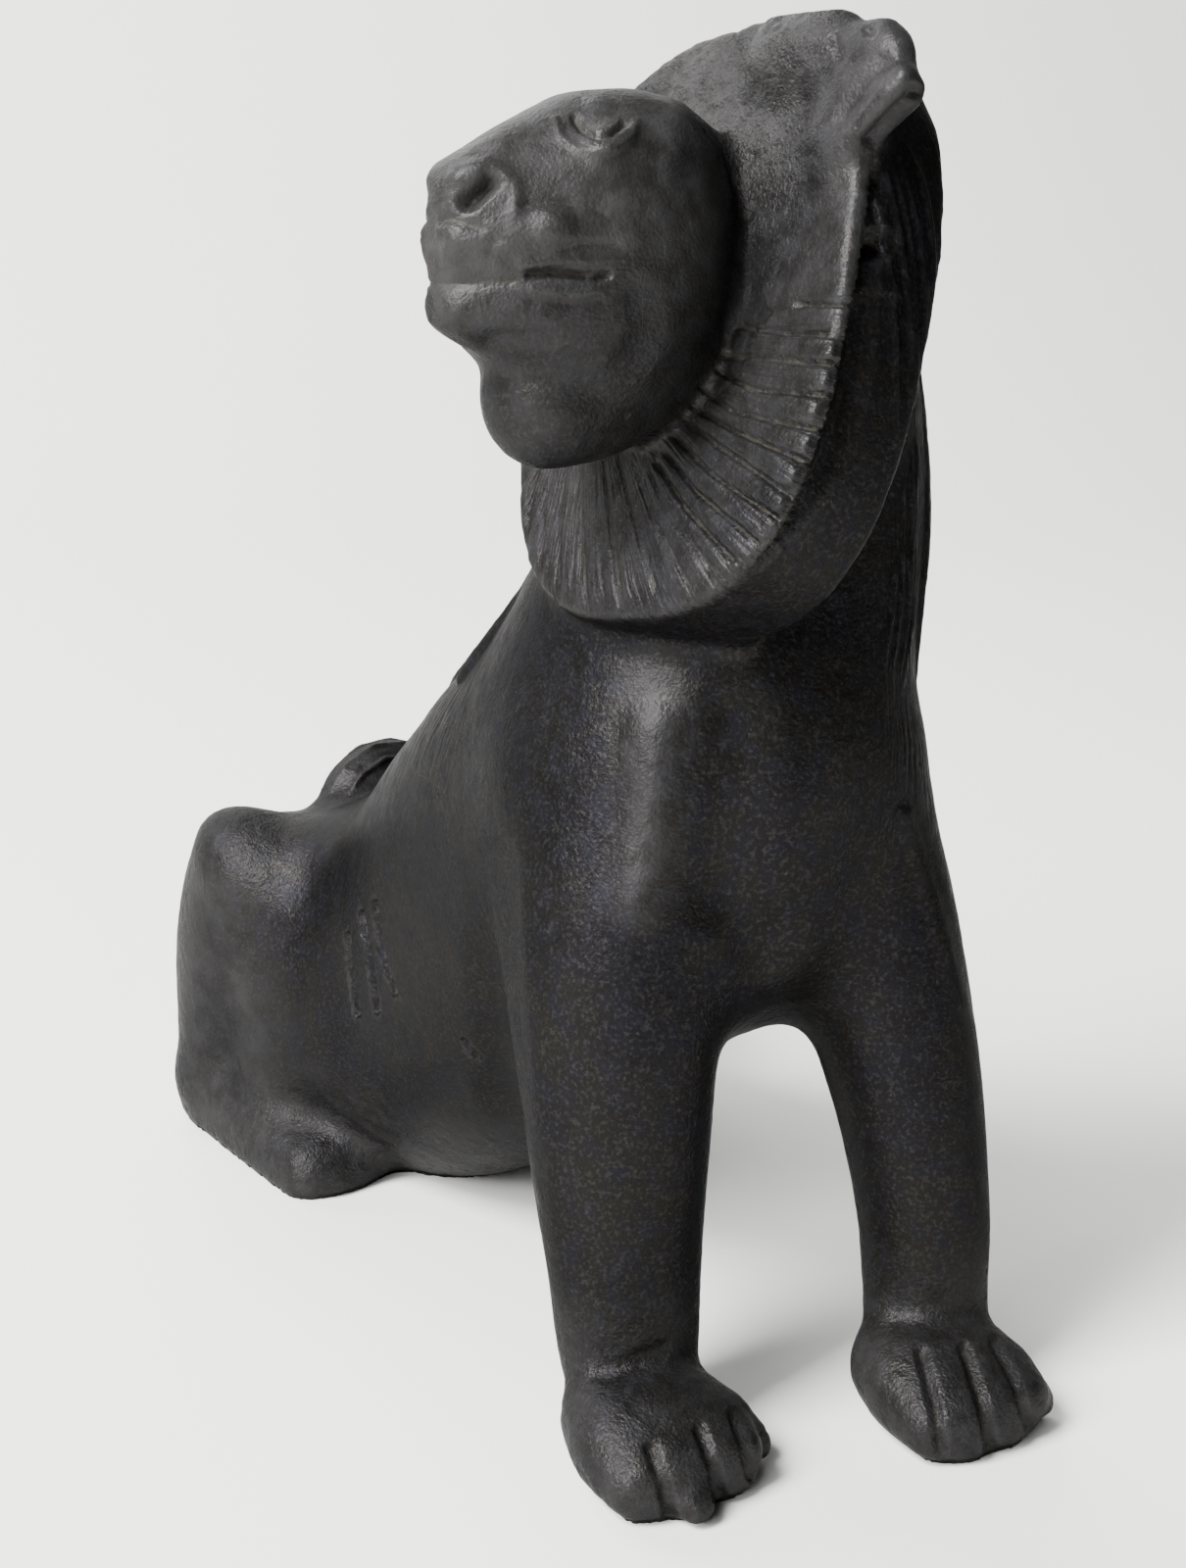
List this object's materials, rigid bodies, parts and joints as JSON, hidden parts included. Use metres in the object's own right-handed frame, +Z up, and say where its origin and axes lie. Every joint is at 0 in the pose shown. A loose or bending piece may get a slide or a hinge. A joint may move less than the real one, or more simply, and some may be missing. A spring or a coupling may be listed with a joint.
{
  "type": "lion statuette",
  "caption": "Small cast bronze lion, seated, with a sloping back, straight forelegs and its head turned to its right inside a furrowed ruff.",
  "frame": {"origin": "middle of the bounding box, at the ground under the paws", "axes": "+Z up; -Y the way the lion's body faces; +X the lion's left; the head is turned towards -X"},
  "size_m": [0.0302, 0.067, 0.0623],
  "materials": {
    "bronze": "dark brown patina, satin, worn and finely pitted"
  },
  "bodies": {
    "root": {"lion": "bronze"}
  },
  "joints": []
}
